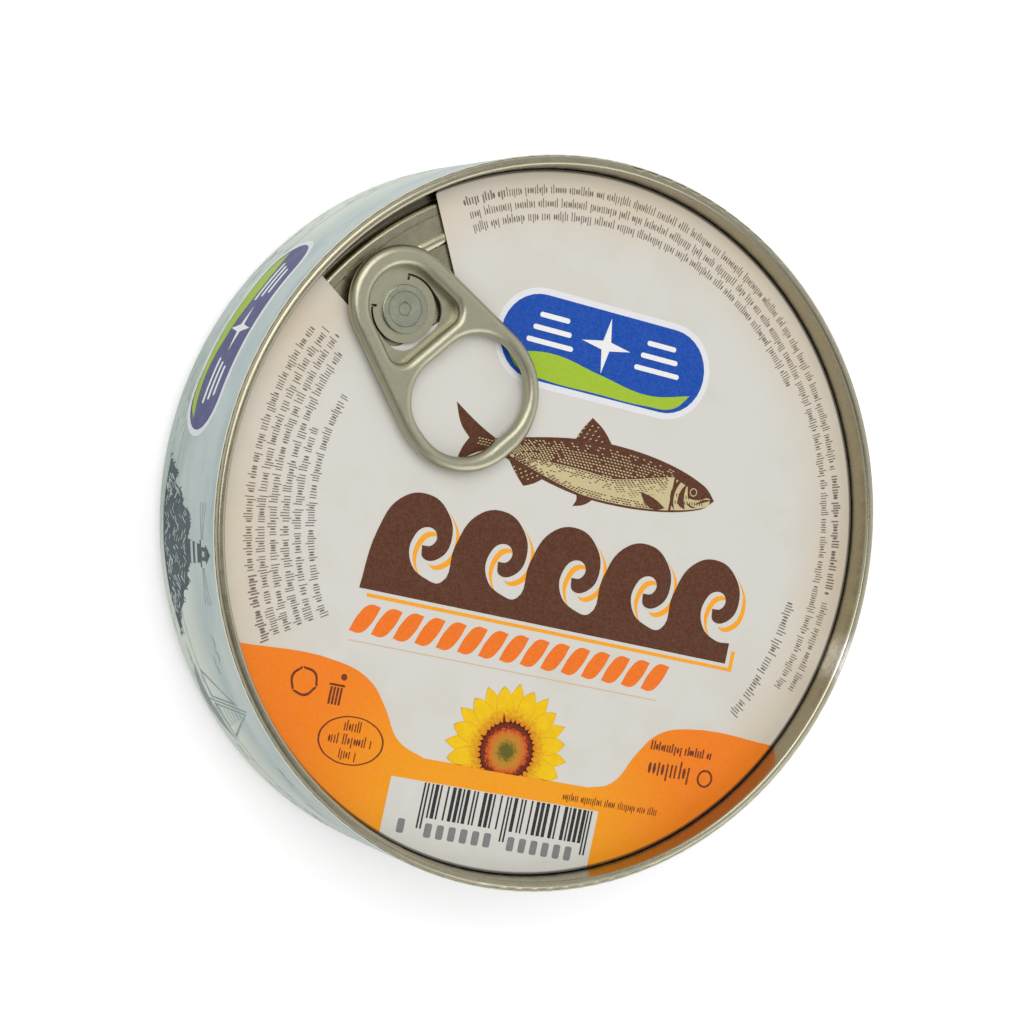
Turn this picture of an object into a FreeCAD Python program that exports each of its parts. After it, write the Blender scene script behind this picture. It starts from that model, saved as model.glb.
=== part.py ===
import FreeCAD, Part
import math
import os

# A shut easy-open fish tin: a drawn round body, a lid seamed onto it with a rivet and a pull tab,
# a printed paper disc over the lid and a printed paper band round the side.
# Millimetres. +Z goes up through the lid, the standing ring is at Z = 0, and +Y is the top of the print.

# Whole tin
TIN_HEIGHT = 26.3
SEAM_RADIUS = 51.15

# Double seam and the lid's sheet, from the rim inwards
SEAM_THICKNESS = 1.3
SEAM_LENGTH = 3.0
SEAM_OUTER_ROUND = 0.6
SEAM_INNER_ROUND = 0.45
SEAM_FOOT_ROUND = 0.45
LID_SHEET = 0.25
CHUCK_WALL_SLOPE = 4.0
PANEL_DEPTH = 4.3
PANEL_ROUND = 0.55
GROOVE_BELOW_PANEL = 1.1
GROOVE_WIDTH = 1.5
GROOVE_ROUND = 0.5

# Pressed lines in the lid's panel
SCORE_INSET = 1.6
SCORE_WIDTH = 0.3
SCORE_DEPTH = 0.1
BEAD_INSET = 4.9
BEAD_WIDTH = 1.7
BEAD_HEIGHT = 0.35
BEAD_HALF_OPENING = 7.3

# Drawn body
BODY_SHEET = 0.2
WALL_INSET = 0.15
BODY_CORNER = 3.0
NECK_HEIGHT = 1.5
NECK_BELOW_SEAM = 1.0
NECK_ROUND = 1.0
STANDING_RING_WIDTH = 1.5
BASE_RECESS = 1.3
BASE_SLOPE_RUN = 1.2
BASE_ROUND = 0.5
BASE_STEPS = 3
BASE_STEP_PITCH = 8.5
BASE_STEP_RISE = 0.45
BASE_STEP_RUN = 0.9

# Rivet, drawn up from the lid's panel and staked over the tab
RIVET_SHANK_RADIUS = 2.4
RIVET_BOSS_LEDGE = 1.1
RIVET_BOSS_HEIGHT = 0.65
RIVET_BOSS_ROUND = 0.3
RIVET_HEAD_OVERHANG = 0.95
RIVET_HEAD_HEIGHT = 0.38
RIVET_HEAD_ROUND = 0.15
RIVET_LIP = 0.95
RIVET_DISH_DEPTH = 0.07
RIVET_DIMPLE_RADIUS = 0.85
RIVET_DIMPLE_DEPTH = 0.2

# Pull tab, from the rivet's axis: the nose lies outwards over the score line, the ring over the lid
TAB_AZIMUTH = 140.8
TAB_SHEET = 0.4
TAB_RIM_HEIGHT = 1.6
TAB_RIM_ABOVE_FLOOR = 0.45
TAB_TOP_ROUND = 1.02
TAB_FOOT_ROUND = 0.5
TAB_NOSE_RIM = 3.0
TAB_NOSE_SHIFT = 1.0
TAB_NOSE_GAP = 1.3
TAB_RING_REACH = 25.0
TAB_RING_HALF_WIDTH = 10.8
TAB_RING_END_FLAT = 0.6
TAB_RING_SIDE_FLAT = 1.6
TAB_RING_END = 2.7
TAB_RING_SIDE = 2.2
TAB_WEB = 2.2
HOLE_NEAR_FLAT = 2.2
HOLE_FAR_FLAT = 1.6
TONGUE_MARGIN = 1.25
SLIT_WIDTH = 0.3
SLIT_CORNER = 3.3
SLIT_HALF_ANGLE = 134.0
SLIT_HOOK_LENGTH = 0.9
SLIT_HOOK_WIDTH = 0.35
SHIELD_NOSE_MARGIN = 1.0
SHIELD_BACK_MARGIN = 0.6
SHIELD_SIDE_MARGIN = 1.6
SHIELD_CORNER = 1.9
SLIT_TO_SHIELD = 0.5

# Paper disc on the lid, with its notch round the rivet's boss, open to the rim
PAPER = 0.15
DISC_CLEARANCE = 0.12
DISC_LIFT = 0.03
NOTCH_TURN = 8.6
NOTCH_SHIFT = 1.65
NOTCH_BACK_MARGIN = 0.6
NOTCH_SIDE_MARGIN = 2.75
NOTCH_HALF_ANGLE = 14.5
NOTCH_BACK_ROUND = 3.2
NOTCH_CORNER = 0.8

# Paper band round the side
BAND_CLEARANCE = 0.03
BAND_TOP_INSET = 0.6
BAND_FOOT_MARGIN = 0.1

# Fits inside the tin
SHANK_CLEARANCE = 0.1
SEAT_CLEARANCE = 0.05

# Worked out from the sizes above
chuck_slope = math.tan(math.radians(CHUCK_WALL_SLOPE))
seam_inner = SEAM_RADIUS - SEAM_THICKNESS
seam_foot = TIN_HEIGHT - SEAM_LENGTH
panel_top = TIN_HEIGHT - PANEL_DEPTH
groove_floor = panel_top - GROOVE_BELOW_PANEL
groove_outer = seam_inner - (TIN_HEIGHT - groove_floor) * chuck_slope
groove_inner = groove_outer - GROOVE_WIDTH
wall_radius = SEAM_RADIUS - WALL_INSET
disc_foot = panel_top + BEAD_HEIGHT + DISC_LIFT

rivet_boss = RIVET_SHANK_RADIUS + RIVET_BOSS_LEDGE
rivet_head = RIVET_SHANK_RADIUS + RIVET_HEAD_OVERHANG
shield_under = panel_top + RIVET_BOSS_HEIGHT
shield_floor = shield_under + TAB_SHEET
tab_foot = shield_floor + TAB_RIM_ABOVE_FLOOR
tab_top = tab_foot + TAB_RIM_HEIGHT

tongue = rivet_head + TONGUE_MARGIN
slit_edge = tongue + SLIT_WIDTH
shield_nose = slit_edge + SHIELD_NOSE_MARGIN
shield_back = slit_edge + SHIELD_BACK_MARGIN
shield_back_half_width = slit_edge + SHIELD_SIDE_MARGIN
tab_nose_reach = shield_nose + TAB_NOSE_RIM
tab_nose_radius = tab_nose_reach - TAB_NOSE_SHIFT
tab_ring_radius = TAB_RING_HALF_WIDTH - TAB_RING_END_FLAT
tab_shoulder = TAB_RING_REACH - tab_ring_radius - TAB_RING_SIDE_FLAT
shoulder_run = tab_shoulder + TAB_NOSE_SHIFT
flare = (math.atan2(TAB_RING_HALF_WIDTH, shoulder_run)
         - math.asin(tab_nose_radius / math.hypot(shoulder_run, TAB_RING_HALF_WIDTH)))
rivet_distance = groove_inner - TAB_NOSE_GAP - tab_nose_reach


def vec(x, y, z=0.0):
    return FreeCAD.Vector(x, y, z)


def unit(direction):
    return vec(direction.x, direction.y, direction.z).normalize()


def rounded_wire(corners):
    """Closed wire in the XY plane through corners (x, y, radius), with tangent arcs at the corners.

    Where two rounds would meet beyond each other on a side, both are cut down to share it.
    """
    points = [vec(x, y) for x, y, radius in corners]
    count = len(corners)
    sides = [points[(i + 1) % count] - points[i] for i in range(count)]
    halves = [(sides[i - 1] * -1).getAngle(sides[i]) / 2 for i in range(count)]
    reaches = [corners[i][2] / math.tan(halves[i]) for i in range(count)]
    shares = []
    for i in range(count):
        wanted = reaches[i] + reaches[(i + 1) % count]
        shares.append(min(1.0, sides[i].Length / max(wanted, 1e-9)))
    arcs = []
    for i, here in enumerate(points):
        share = min(shares[i - 1], shares[i])
        radius = corners[i][2] * share
        reach = reaches[i] * share
        half = halves[i]
        back = unit(sides[i - 1] * -1)
        ahead = unit(sides[i])
        inward = unit(back + ahead)
        crown = here + inward * (radius / math.sin(half) - radius)
        arcs.append((here + back * reach, crown, here + ahead * reach, radius))
    edges = []
    for i, (start, crown, end, radius) in enumerate(arcs):
        if radius > 0:
            edges.append(Part.Arc(start, crown, end).toShape())
        following = arcs[(i + 1) % len(arcs)][0]
        if end.distanceToPoint(following) > 1e-6:
            edges.append(Part.LineSegment(end, following).toShape())
    return Part.Wire(edges)


def revolved(corners, angle=360.0):
    """Solid of revolution about Z from profile corners (radius, height, corner radius)."""
    face = Part.Face(rounded_wire(corners))
    face.rotate(vec(0, 0), vec(1, 0, 0), 90)
    return face.revolve(vec(0, 0), vec(0, 0, 1), angle)


def slab(corners, low, high):
    """Upright slab of a rounded outline between two heights."""
    solid = Part.Face(rounded_wire(corners)).extrude(vec(0, 0, high - low))
    solid.translate(vec(0, 0, low))
    return solid


def mirrored(corners):
    """A half outline, listed from its nose to its back, closed by its mirror image across X."""
    return [(x, -y, radius) for x, y, radius in corners] + corners[::-1]


def level_edges(shape, height):
    """Edges that lie flat at one height."""
    found = []
    for edge in shape.Edges:
        box = edge.BoundBox
        if abs(box.ZMin - height) < 1e-4 and abs(box.ZMax - height) < 1e-4:
            found.append(edge)
    return found


def at_rivet(shape):
    """Moves a shape from the rivet's own frame, +X towards the middle of the lid, to its place."""
    turn = math.radians(TAB_AZIMUTH)
    shape.rotate(vec(0, 0), vec(0, 0, 1), TAB_AZIMUTH - 180)
    shape.translate(vec(rivet_distance * math.cos(turn), rivet_distance * math.sin(turn)))
    return shape


def body():
    """Drawn body with what it holds: stepped base, standing ring, wall and the neck under the seam."""
    chuck_outer = groove_outer + LID_SHEET + SEAT_CLEARANCE
    neck = seam_inner + LID_SHEET + BODY_SHEET
    ring_inner = wall_radius - BODY_CORNER - STANDING_RING_WIDTH
    pocket_inner = groove_inner - LID_SHEET - SEAT_CLEARANCE
    pocket_floor = groove_floor - LID_SHEET - SEAT_CLEARANCE
    profile = [(0, BASE_RECESS + BASE_STEP_RISE * BASE_STEPS, 0)]
    for step in range(BASE_STEPS, 0, -1):
        radius = ring_inner - BASE_SLOPE_RUN - BASE_STEP_PITCH * step
        high = BASE_RECESS + BASE_STEP_RISE * step
        profile.append((radius - BASE_STEP_RUN, high, BASE_ROUND))
        profile.append((radius, high - BASE_STEP_RISE, BASE_ROUND))
    profile += [
        (ring_inner - BASE_SLOPE_RUN, BASE_RECESS, BASE_ROUND),
        (ring_inner, 0, BASE_ROUND),
        (wall_radius, 0, BODY_CORNER),
        (wall_radius, seam_foot - NECK_BELOW_SEAM - NECK_HEIGHT, NECK_ROUND),
        (neck, seam_foot - NECK_BELOW_SEAM, NECK_ROUND),
        (neck, seam_foot, 0),
        (seam_inner + LID_SHEET + SEAT_CLEARANCE, seam_foot, 0),
        (chuck_outer, pocket_floor, 0),
        (pocket_inner, pocket_floor, 0),
        (pocket_inner, panel_top - LID_SHEET, PANEL_ROUND - LID_SHEET + SEAT_CLEARANCE),
        (0, panel_top - LID_SHEET, 0),
    ]
    return revolved(profile)


def lid_sheet():
    """Seam roll, chuck wall, groove and panel of the lid as one sheet turned about the middle."""
    inner_round = GROOVE_ROUND + LID_SHEET
    seam_foot_inner = seam_inner - SEAM_LENGTH * chuck_slope
    profile = [
        (0, panel_top - LID_SHEET, 0),
        (groove_inner - LID_SHEET, panel_top - LID_SHEET, PANEL_ROUND - LID_SHEET),
        (groove_inner - LID_SHEET, groove_floor - LID_SHEET, inner_round),
        (groove_outer + LID_SHEET, groove_floor - LID_SHEET, inner_round),
        (seam_foot_inner + LID_SHEET, seam_foot, 0),
        (SEAM_RADIUS, seam_foot, SEAM_FOOT_ROUND),
        (SEAM_RADIUS, TIN_HEIGHT, SEAM_OUTER_ROUND),
        (seam_inner, TIN_HEIGHT, SEAM_INNER_ROUND),
        (groove_outer, groove_floor, GROOVE_ROUND),
        (groove_inner, groove_floor, GROOVE_ROUND),
        (groove_inner, panel_top, PANEL_ROUND),
        (0, panel_top, 0),
    ]
    return revolved(profile)


def panel_bead():
    """Raised bead pressed in the panel, a ring left open where the tab's nose lies."""
    middle = groove_inner - BEAD_INSET
    half = BEAD_WIDTH / 2
    crown = panel_top + BEAD_HEIGHT
    root = panel_top - LID_SHEET / 2
    arc = Part.Arc(vec(middle - half, 0, panel_top), vec(middle, 0, crown), vec(middle + half, 0, panel_top))
    sides = Part.makePolygon([vec(middle + half, 0, panel_top), vec(middle + half, 0, root),
                              vec(middle - half, 0, root), vec(middle - half, 0, panel_top)])
    opening = math.degrees(math.asin(BEAD_HALF_OPENING / middle))
    start = TAB_AZIMUTH + opening
    section = Part.Face(Part.Wire([arc.toShape()] + sides.Edges))
    section.rotate(vec(0, 0), vec(0, 0, 1), start)
    ring = section.revolve(vec(0, 0), vec(0, 0, 1), 360 - 2 * opening)
    curve = (half * half + BEAD_HEIGHT * BEAD_HEIGHT) / (2 * BEAD_HEIGHT)
    cap = Part.makeSphere(curve, vec(0, 0, crown - curve))
    cap = cap.common(Part.makeCylinder(half, crown - root, vec(0, 0, root)))
    for azimuth in (start, start - 2 * opening):
        turn = math.radians(azimuth)
        ring = ring.fuse(cap.translated(vec(middle * math.cos(turn), middle * math.sin(turn))))
    return ring


def rivet():
    """Boss, shank and staked head, turned about the rivet's own axis."""
    head_top = shield_floor + RIVET_HEAD_HEIGHT
    dish_radius = rivet_head - RIVET_LIP
    dish = head_top - RIVET_DISH_DEPTH
    dimple = dish - RIVET_DIMPLE_DEPTH
    profile = [
        (0, panel_top - LID_SHEET / 2, 0),
        (rivet_boss, panel_top - LID_SHEET / 2, 0),
        (rivet_boss, shield_under, RIVET_BOSS_ROUND),
        (RIVET_SHANK_RADIUS, shield_under, 0),
        (RIVET_SHANK_RADIUS, shield_floor, 0),
        (rivet_head, shield_floor, 0),
        (rivet_head, head_top, RIVET_HEAD_ROUND),
        (dish_radius + RIVET_DISH_DEPTH, head_top, 0),
        (dish_radius, dish, 0),
        (RIVET_DIMPLE_RADIUS + RIVET_DIMPLE_DEPTH, dish, 0),
        (RIVET_DIMPLE_RADIUS, dimple, 0),
        (0, dimple, 0),
    ]
    return at_rivet(revolved(profile))


def lid():
    """Lid with its score line, panel bead and rivet, all of one sheet."""
    score = groove_inner - SCORE_INSET
    groove = revolved([
        (score - SCORE_WIDTH / 2, panel_top + SCORE_DEPTH, 0),
        (score, panel_top - SCORE_DEPTH, 0),
        (score + SCORE_WIDTH / 2, panel_top + SCORE_DEPTH, 0),
    ])
    return lid_sheet().cut(groove).fuse([panel_bead(), rivet()]).removeSplitter()


def tab_outline():
    """Corners of the tab's outer edge: a round nose, flared sides and a wide ring end."""
    nose_side = TAB_RING_HALF_WIDTH - (tab_shoulder + tab_nose_reach) * math.tan(flare)
    return mirrored([
        (-tab_nose_reach, nose_side, tab_nose_radius),
        (tab_shoulder, TAB_RING_HALF_WIDTH, tab_ring_radius),
        (TAB_RING_REACH, TAB_RING_HALF_WIDTH, tab_ring_radius),
    ])


def shield_outline(grow=0.0):
    """Corners of the recess round the rivet, grown outwards by a wall."""
    nose = shield_nose + grow
    back = shield_back + grow
    back_side = shield_back_half_width + grow
    nose_side = back_side - (nose + back) * math.tan(flare)
    return mirrored([
        (-nose, nose_side, nose_side * math.tan((math.pi / 2 + flare) / 2)),
        (back, back_side, SHIELD_CORNER + grow),
    ])


def slit():
    """C-shaped cut round the tongue that holds the rivet, with a hook at each end."""
    low = shield_under - TAB_SHEET
    high = shield_floor + TAB_SHEET
    slit_back = shield_back - SLIT_TO_SHIELD
    outer = Part.makeCylinder(slit_edge, high - low, vec(0, 0, low))
    outer = outer.fuse(slab([
        (0, slit_edge, 0),
        (0, -slit_edge, 0),
        (slit_back, -slit_edge, SLIT_CORNER),
        (slit_back, slit_edge, SLIT_CORNER),
    ], low, high))
    gap = outer.cut(Part.makeCylinder(tongue, high - low, vec(0, 0, low)))
    hinge_angle = 360 - 2 * SLIT_HALF_ANGLE
    hinge = Part.makeCylinder(tongue * 2, high - low, vec(0, 0, low), vec(0, 0, 1), hinge_angle)
    hinge.rotate(vec(0, 0), vec(0, 0, 1), SLIT_HALF_ANGLE)
    gap = gap.cut(hinge)
    hooks = []
    for side in (1, -1):
        hook = Part.makeBox(SLIT_HOOK_LENGTH, SLIT_HOOK_WIDTH, high - low,
                            vec(slit_edge - SLIT_HOOK_LENGTH, -SLIT_HOOK_WIDTH / 2, low))
        hook.rotate(vec(0, 0), vec(0, 0, 1), side * SLIT_HALF_ANGLE)
        hooks.append(hook)
    return gap.fuse(hooks)


def pull_tab():
    """Ring-pull tab: curled edges all round, finger hole, and a deep recess with the riveted tongue."""
    hole_near = shield_back + TAB_WEB
    hole_far = TAB_RING_REACH - TAB_RING_END
    hole_side = TAB_RING_HALF_WIDTH - TAB_RING_SIDE
    hole = mirrored([
        (hole_near, hole_side, hole_side - HOLE_NEAR_FLAT),
        (hole_far, hole_side, hole_side - HOLE_FAR_FLAT),
    ])
    fit = min(1, TAB_RIM_HEIGHT * 0.98 / (TAB_TOP_ROUND + TAB_FOOT_ROUND))
    foot_round = TAB_FOOT_ROUND * fit
    rim = slab(tab_outline(), tab_foot, tab_top).cut(slab(hole, tab_foot - 1, tab_top + 1))
    rim = rim.makeFillet(foot_round, level_edges(rim, tab_foot))
    rim = rim.cut(slab(shield_outline(), tab_foot - 1, tab_top + 1))
    rim = rim.makeFillet(TAB_TOP_ROUND * fit, level_edges(rim, tab_top))
    cup = slab(shield_outline(TAB_SHEET), shield_under, tab_foot + foot_round)
    cup = cup.cut(slab(shield_outline(), shield_floor, tab_top))
    shank_hole = Part.makeCylinder(RIVET_SHANK_RADIUS + SHANK_CLEARANCE, TAB_SHEET * 3,
                                   vec(0, 0, shield_under - TAB_SHEET))
    return at_rivet(rim.fuse(cup).cut([slit(), shank_hole]).removeSplitter())


def lid_disc():
    """Printed paper disc on the lid: it spans the groove and is notched round the tab."""
    radius = groove_outer + (disc_foot - groove_floor) * chuck_slope - DISC_CLEARANCE
    disc = Part.makeCylinder(radius, PAPER, vec(0, 0, disc_foot))
    back = rivet_boss + NOTCH_BACK_MARGIN
    back_side = rivet_boss + NOTCH_SIDE_MARGIN
    far = SEAM_RADIUS
    far_half_width = back_side + (far + back) * math.tan(math.radians(NOTCH_HALF_ANGLE))
    notch = slab([
        (-back, back_side - NOTCH_SHIFT, NOTCH_BACK_ROUND),
        (-back, -back_side - NOTCH_SHIFT, NOTCH_BACK_ROUND),
        (far, -far_half_width - NOTCH_SHIFT, 0),
        (far, far_half_width - NOTCH_SHIFT, 0),
    ], disc_foot - 1, disc_foot + 1)
    notch.rotate(vec(0, 0), vec(0, 0, 1), 180 - NOTCH_TURN)
    notch = at_rivet(notch)
    disc = disc.cut(notch)
    corners = []
    for edge in disc.Edges:
        start, end = edge.Vertexes[0].Point, edge.Vertexes[-1].Point
        upright = abs(end.z - start.z) > PAPER / 2
        if upright and math.hypot(start.x, start.y) > radius - 0.01:
            corners.append(edge)
    return disc.makeFillet(NOTCH_CORNER, corners)


def side_band():
    """Printed paper band, from just above the body's corner to just under the seam's top."""
    inner = SEAM_RADIUS + BAND_CLEARANCE
    foot = BODY_CORNER + BAND_FOOT_MARGIN
    top = TIN_HEIGHT - BAND_TOP_INSET
    return revolved([
        (inner, foot, 0),
        (inner + PAPER, foot, 0),
        (inner + PAPER, top, 0),
        (inner, top, 0),
    ])


NODES = {
    "can_body": body,
    "can_end": lid,
    "pull_tab": pull_tab,
    "lid_label": lid_disc,
    "side_label": side_band,
}

os.makedirs("parts", exist_ok=True)
for name, make in NODES.items():
    shape = make()
    solids = shape.Solids
    print(name, "solids", len(solids), "valid", shape.isValid(), "volume", round(shape.Volume, 2))
    (solids[0] if len(solids) == 1 else shape).exportStep("parts/" + name + ".step")
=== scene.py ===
import math
import random

import bmesh
import bpy
from bpy.props import FloatProperty, FloatVectorProperty, IntProperty, PointerProperty
from bpy.types import Node, NodeSocket, Operator, Panel, PropertyGroup
from mathutils import Euler, Matrix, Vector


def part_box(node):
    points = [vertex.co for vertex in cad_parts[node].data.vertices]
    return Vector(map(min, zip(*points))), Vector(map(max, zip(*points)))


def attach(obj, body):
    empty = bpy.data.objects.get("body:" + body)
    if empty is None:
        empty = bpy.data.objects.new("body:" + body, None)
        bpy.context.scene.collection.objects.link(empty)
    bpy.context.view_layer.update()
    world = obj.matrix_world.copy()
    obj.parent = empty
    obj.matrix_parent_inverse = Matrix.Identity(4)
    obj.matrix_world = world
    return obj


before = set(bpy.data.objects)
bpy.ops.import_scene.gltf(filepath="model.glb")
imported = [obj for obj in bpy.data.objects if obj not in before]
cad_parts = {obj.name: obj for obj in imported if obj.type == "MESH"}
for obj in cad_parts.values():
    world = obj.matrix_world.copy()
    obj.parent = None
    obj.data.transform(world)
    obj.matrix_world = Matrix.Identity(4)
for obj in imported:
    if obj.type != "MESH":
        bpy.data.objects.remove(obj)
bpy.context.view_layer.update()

bl_info = {
    "name": "Fish Tin Looks",
    "version": (1, 0, 0),
    "blender": (4, 5, 0),
    "location": "3D View > Sidebar > Fish Tin",
    "description": "Print, metal finishes and studio for a shut tin of herring",
    "category": "Object",
}

# The print is laid out in millimetres: on the lid from its middle, with +Y at the top of the print,
# and on the band as the length round from the middle of its shown side, against the height.
MM = 0.001
PAPER_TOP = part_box("lid_label")[1].z / MM
PAPER_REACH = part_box("lid_label")[1].x / MM - 0.05
BAND_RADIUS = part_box("side_label")[1].x / MM
BAND_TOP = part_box("side_label")[1].z / MM
BAND_HALF_LENGTH = math.pi * BAND_RADIUS
BAND_MIDDLE = math.pi
WRAP_STEP = BAND_RADIUS * math.radians(1.5)
CURVE_STEPS = 6

# The lid: its rivet's place and head, the heights of its groove, where shade is painted, and where a
# highlight is painted on its wall
RIVET_PLACE = (-29.29, 23.89)
RIVET_HEAD = 3.5
GROOVE_FOOT, GROOVE_BRIM = 21.0, 21.7
GLARE_PLACE = (49.2, -9.9)

# Small print: a row's usual height, its strokes and beads, and the length of words and their gaps
ROW_TALL = 0.95
STROKE_WIDTH, BEAD_HALF, BEAD_SHARE = 0.14, 0.13, 0.3
WORD_STROKES, WORD_GAP = (4, 12), 0.4
# A stroke's height against its row's, and whether it rises above the row or hangs below it
STROKE_RISES = ((1, 1), (1, 1), (1, 1), (1.35, 1), (1.35, 1), (1.3, -1))

# The Mix node's factor, its two colours and its setting for them; the Map Range node's for a soft step
MIX_BY, MIX_FROM, MIX_TO = 0, 6, 7
TINT = {"data_type": "RGBA"}
SOFT = {"interpolation_type": "SMOOTHSTEP"}
# Metal under a thin clear lacquer
LACQUERED = {"Metallic": 1.0, "Coat Weight": 0.2, "Coat Roughness": 0.2}


def srgb(code):
    """sRGB hex as the linear colour that a shader takes."""
    channels = [int(code[i:i + 2], 16) / 255 for i in (0, 2, 4)]
    return [c / 12.92 if c <= 0.04045 else ((c + 0.055) / 1.055) ** 2.4 for c in channels]


def rgba(value):
    return (*value, 1.0)


def shade(value, by):
    return [channel * by for channel in value]


WHITE = rgba(srgb("FFFFFF"))


def colour(label, code, about):
    return FloatVectorProperty(name=label, description=about, default=srgb(code), subtype="COLOR",
                               size=3, min=0, max=1)


def length(label, millimetres, about):
    return FloatProperty(name=label, description=about, default=millimetres * MM, min=0,
                         unit="LENGTH", precision=5)


class TinColours(PropertyGroup):
    paper: colour("Paper", "D3D1C9", "Coated paper of the lid's disc, in the middle")
    paper_edge: colour("Paper Edge", "D3C6B2", "Warmer tone of the disc towards its rim")
    orange: colour("Orange", "EE7C08", "Field at the foot of the disc, at its sides")
    amber: colour("Amber", "EE9A04", "The same field in the middle")
    brown: colour("Brown", "582F18", "Wave scroll and the fish's back")
    cream: colour("Cream", "C8B98C", "The fish's belly and scales")
    scroll_edge: colour("Scroll Edge", "F5A31C", "Offset shadow of the wave scroll")
    rope: colour("Rope", "EE7416", "Rope ornament under the scroll")
    blue: colour("Blue", "0648A8", "Plain panel")
    green: colour("Green", "9FBE2C", "Stripe of the panel")
    petal: colour("Petal", "EEC30E", "Tips of the sunflower's petals")
    petal_root: colour("Petal Root", "D07A14", "Roots of the petals")
    small_print: colour("Small Print", "746B60", "Rows of fine strokes and beads")
    mark: colour("Mark", "6E2F10", "Marks printed on the orange field")
    side_blue: colour("Side Blue", "4A4C7E", "Plain panel on the band")
    sky: colour("Sky", "A0B4B5", "Band round the side, near the lid")
    sea: colour("Sea", "A8B7AF", "Band round the side, near the foot")
    drawing: colour("Drawing", "3A4C52", "Dark drawing on the band")
    cut_edge: colour("Cut Edge", "D9D8C8", "Cut edge of the band's paper")
    tinplate: colour("Tinplate", "B0AA92", "Lid and seam")
    # The rivet's greyer tint is a painted reflection
    rivet: colour("Rivet", "B9BCA6", "Head of the rivet")
    tab: colour("Tab", "B2AF97", "Pull tab")
    enamel: colour("Enamel", "C9CCC6", "Body below the band")


class TinPrint(PropertyGroup):
    ink_step: length("Ink Step", 0.015, "Height of each layer of ink over the one below")
    scroll_pitch: length("Scroll Pitch", 11.8, "From one wave of the scroll to the next")
    scroll_count: IntProperty(name="Scroll Waves", description="Waves in the scroll", default=5, min=1)
    stroke_pitch: length("Stroke Pitch", 0.37, "From one stroke of the small print to the next")
    petal_count: IntProperty(name="Petals", description="Petals in each row of the flower", default=12,
                             min=6)


class TinStudio(PropertyGroup):
    lens: FloatProperty(name="Lens", description="Focal length on a 36 mm sensor", default=87.9, min=1,
                        unit="CAMERA")
    key_power: FloatProperty(name="Key Light", description="Softbox over the tab's side", default=2.9,
                             min=0, unit="POWER")
    fill_power: FloatProperty(name="Fill Light", description="Softbox over the far side", default=1.2,
                              min=0, unit="POWER")
    room: FloatProperty(name="Room", description="Strength of the pale room", default=0.54, min=0)
    ceiling: FloatProperty(name="Ceiling", description="Strength of the dim ceiling in reflections",
                           default=0.15, min=0)


def colours():
    return bpy.context.scene.tin_colours


def prints():
    return bpy.context.scene.tin_print


# Materials

def add(tree, kind, inputs=None, **settings):
    """Adds a node with its settings. An input is a value, a node, or a node with an output's name."""
    made = tree.nodes.new("ShaderNode" + kind)
    for key, value in settings.items():
        setattr(made, key, value)
    for key, value in (inputs or {}).items():
        if isinstance(value, Node):
            value = next(out for out in value.outputs if out.enabled)
        elif isinstance(value, tuple) and isinstance(value[0], Node):
            value = value[0].outputs[value[1]]
        if isinstance(value, NodeSocket):
            tree.links.new(value, made.inputs[key])
        else:
            made.inputs[key].default_value = value
    return made


def material(name):
    made = bpy.data.materials.new(name)
    made.use_nodes = True
    made.node_tree.nodes.clear()
    return made, made.node_tree


def finish_node(name, made):
    """Gives a node of the frame its material."""
    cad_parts[name].material_slots[0].material = made


def patches(tree, size, low=0.0, high=1.0, squash=(1, 1, 1), contrast=0.2, place=None):
    """Soft random patches of a size in millimetres, running from low to high.

    contrast is how far the noise strays from its middle where they reach low or high.
    """
    place = place or add(tree, "Mapping", {"Vector": (add(tree, "TexCoord"), "Object"), "Scale": squash})
    noise = add(tree, "TexNoise", {"Vector": place, "Scale": 1 / (size * MM), "Detail": 3.0})
    return add(tree, "MapRange", {"Value": noise, "From Min": 0.5 - contrast, "From Max": 0.5 + contrast,
                                  "To Min": low, "To Max": high}, **SOFT)


def distance_from(tree, x, y):
    """Distance in metres, seen from above, from a place given in millimetres."""
    place = add(tree, "VectorMath", {
        0: (add(tree, "TexCoord"), "Object"), 1: (x * MM, y * MM, 0)}, operation="SUBTRACT")
    flat = add(tree, "VectorMath", {0: place, 1: (1, 1, 0)}, operation="MULTIPLY")
    return add(tree, "VectorMath", {0: flat}, operation="LENGTH")


def uneven(tree, tone, mask, darker):
    """A tone that wavers, by a mask, with one slightly darker."""
    return add(tree, "Mix", {
        MIX_BY: mask, MIX_FROM: rgba(shade(tone, darker)), MIX_TO: rgba(tone)}, **TINT)


def surface(tree, base, rough, rise, strength, depth, settings):
    """Ends a material: its colour, its roughness and a relief of a depth in millimetres."""
    bump = add(tree, "Bump", {"Height": rise, "Strength": strength, "Distance": depth * MM})
    shader = add(tree, "BsdfPrincipled", {
        "Base Color": base, "Roughness": rough, "Normal": bump, **settings})
    add(tree, "OutputMaterial", {"Surface": shader})


def coated_paper(tree, base):
    """Art paper under a satin varnish: a soft shine, a faint tooth and the slightest cockle."""
    tooth_and_cockle = add(tree, "Math", {
        0: patches(tree, 0.3, 0, 0.05), 1: patches(tree, 8)}, operation="ADD")
    surface(tree, base, patches(tree, 3, 0.38, 0.48), tooth_and_cockle, 0.3, 0.2,
            {"IOR": 1.5, "Specular IOR Level": 0.2})


def rim_shadow(tree, base):
    """A dark line painted along the disc's cut rim, where it meets the wall: painted shadow of the gap
    there.
    """
    near = add(tree, "MapRange", {
        "Value": distance_from(tree, 0, 0), "From Min": (PAPER_REACH - 0.4) * MM,
        "From Max": (PAPER_REACH - 0.15) * MM, "To Max": 0.85})
    return add(tree, "Mix", {MIX_BY: near, MIX_FROM: base, MIX_TO: rgba(srgb("2E2A22"))}, **TINT)


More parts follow.
